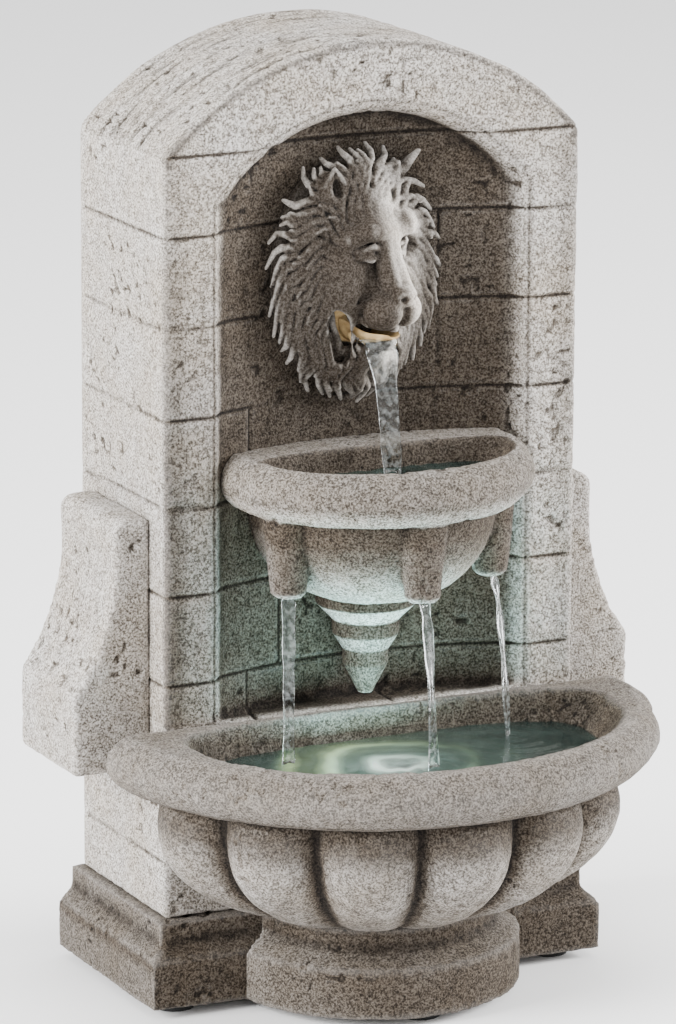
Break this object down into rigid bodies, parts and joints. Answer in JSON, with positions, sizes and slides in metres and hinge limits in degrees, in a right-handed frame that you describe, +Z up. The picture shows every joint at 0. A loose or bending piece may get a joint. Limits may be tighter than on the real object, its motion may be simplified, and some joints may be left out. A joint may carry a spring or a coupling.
{
  "type": "indoor lion fountain",
  "caption": "Free-standing indoor fountain in cast stone: arched wall with a niche, lion mask that pours into a half-round bowl, and a lobed lit basin with a hidden pump.",
  "frame": {"origin": "on the floor, under the middle of the fountain's overall box", "axes": "+Z up, front towards -Y, +X to the right when seen from the front"},
  "size_m": [0.256, 0.205, 0.4],
  "materials": {
    "cast_stone": "rough speckled cast stone",
    "ochre_stone": "matt ochre cast",
    "black_plastic": "fine moulded",
    "grey_plastic": "fine moulded",
    "rubber": "matt",
    "clear_vinyl": "clear soft tube",
    "clear_lens": "clear moulded",
    "steel": "zinc plated",
    "ceramic": "ground",
    "ferrite": "sintered",
    "copper": "enamelled wire",
    "circuit_board": "white solder mask",
    "hardwood": "turned dowel"
  },
  "bodies": {
    "root": {"wall_shell": "cast_stone", "left_scroll": "cast_stone", "right_scroll": "cast_stone", "plinth": "cast_stone", "pedestal": "cast_stone", "basin": "cast_stone", "upper_bowl": "cast_stone", "stepped_drop": "cast_stone", "lion_mask": "cast_stone", "mouth_spout": "ochre_stone", "pump_body": "black_plastic", "pump_end_cap": "black_plastic", "chamber_plate": "black_plastic", "lamp_housing": "black_plastic", "lamp_ring": "black_plastic", "tube_clips": "black_plastic", "mouth_elbow": "grey_plastic", "outlet_nozzle": "grey_plastic", "rubber_feet": "rubber", "suction_cups": "rubber", "elbow_seal": "rubber", "lamp_seal": "rubber", "shaft_bushes": "rubber", "riser_tube": "clear_vinyl", "lamp_lens": "clear_lens", "plinth_bolts": "steel", "upper_bowl_bolts": "steel", "lion_mask_bolts": "steel", "impeller_shaft": "ceramic", "stator_core": "ferrite", "stator_windings": "copper", "lamp_board": "circuit_board", "scroll_dowels": "hardwood"},
    "back_cover": {"back_cover": "grey_plastic", "cover_screws": "steel", "cable_grommet": "rubber"},
    "impeller": {"rotor_magnet": "ferrite", "impeller_wheel": "grey_plastic"},
    "strainer": {"strainer_cover": "black_plastic"},
    "flow_dial": {"flow_dial": "grey_plastic"}
  },
  "joints": [
    {"name": "back_cover_off", "type": "slide", "parent": "root", "child": "back_cover", "axis": [0, 1, 0], "range_m": [0, 0.06]},
    {"name": "impeller_spin", "type": "hinge", "parent": "root", "child": "impeller", "pos_m": [0, 0.0585, 0.086], "axis": [1, 0, 0], "continuous": true},
    {"name": "strainer_pull", "type": "slide", "parent": "root", "child": "strainer", "axis": [1, 0, 0], "range_m": [0, 0.014]},
    {"name": "flow_dial_turn", "type": "hinge", "parent": "strainer", "child": "flow_dial", "pos_m": [0.02, 0.0585, 0.086], "axis": [1, 0, 0], "range_deg": [0, 90]}
  ]
}
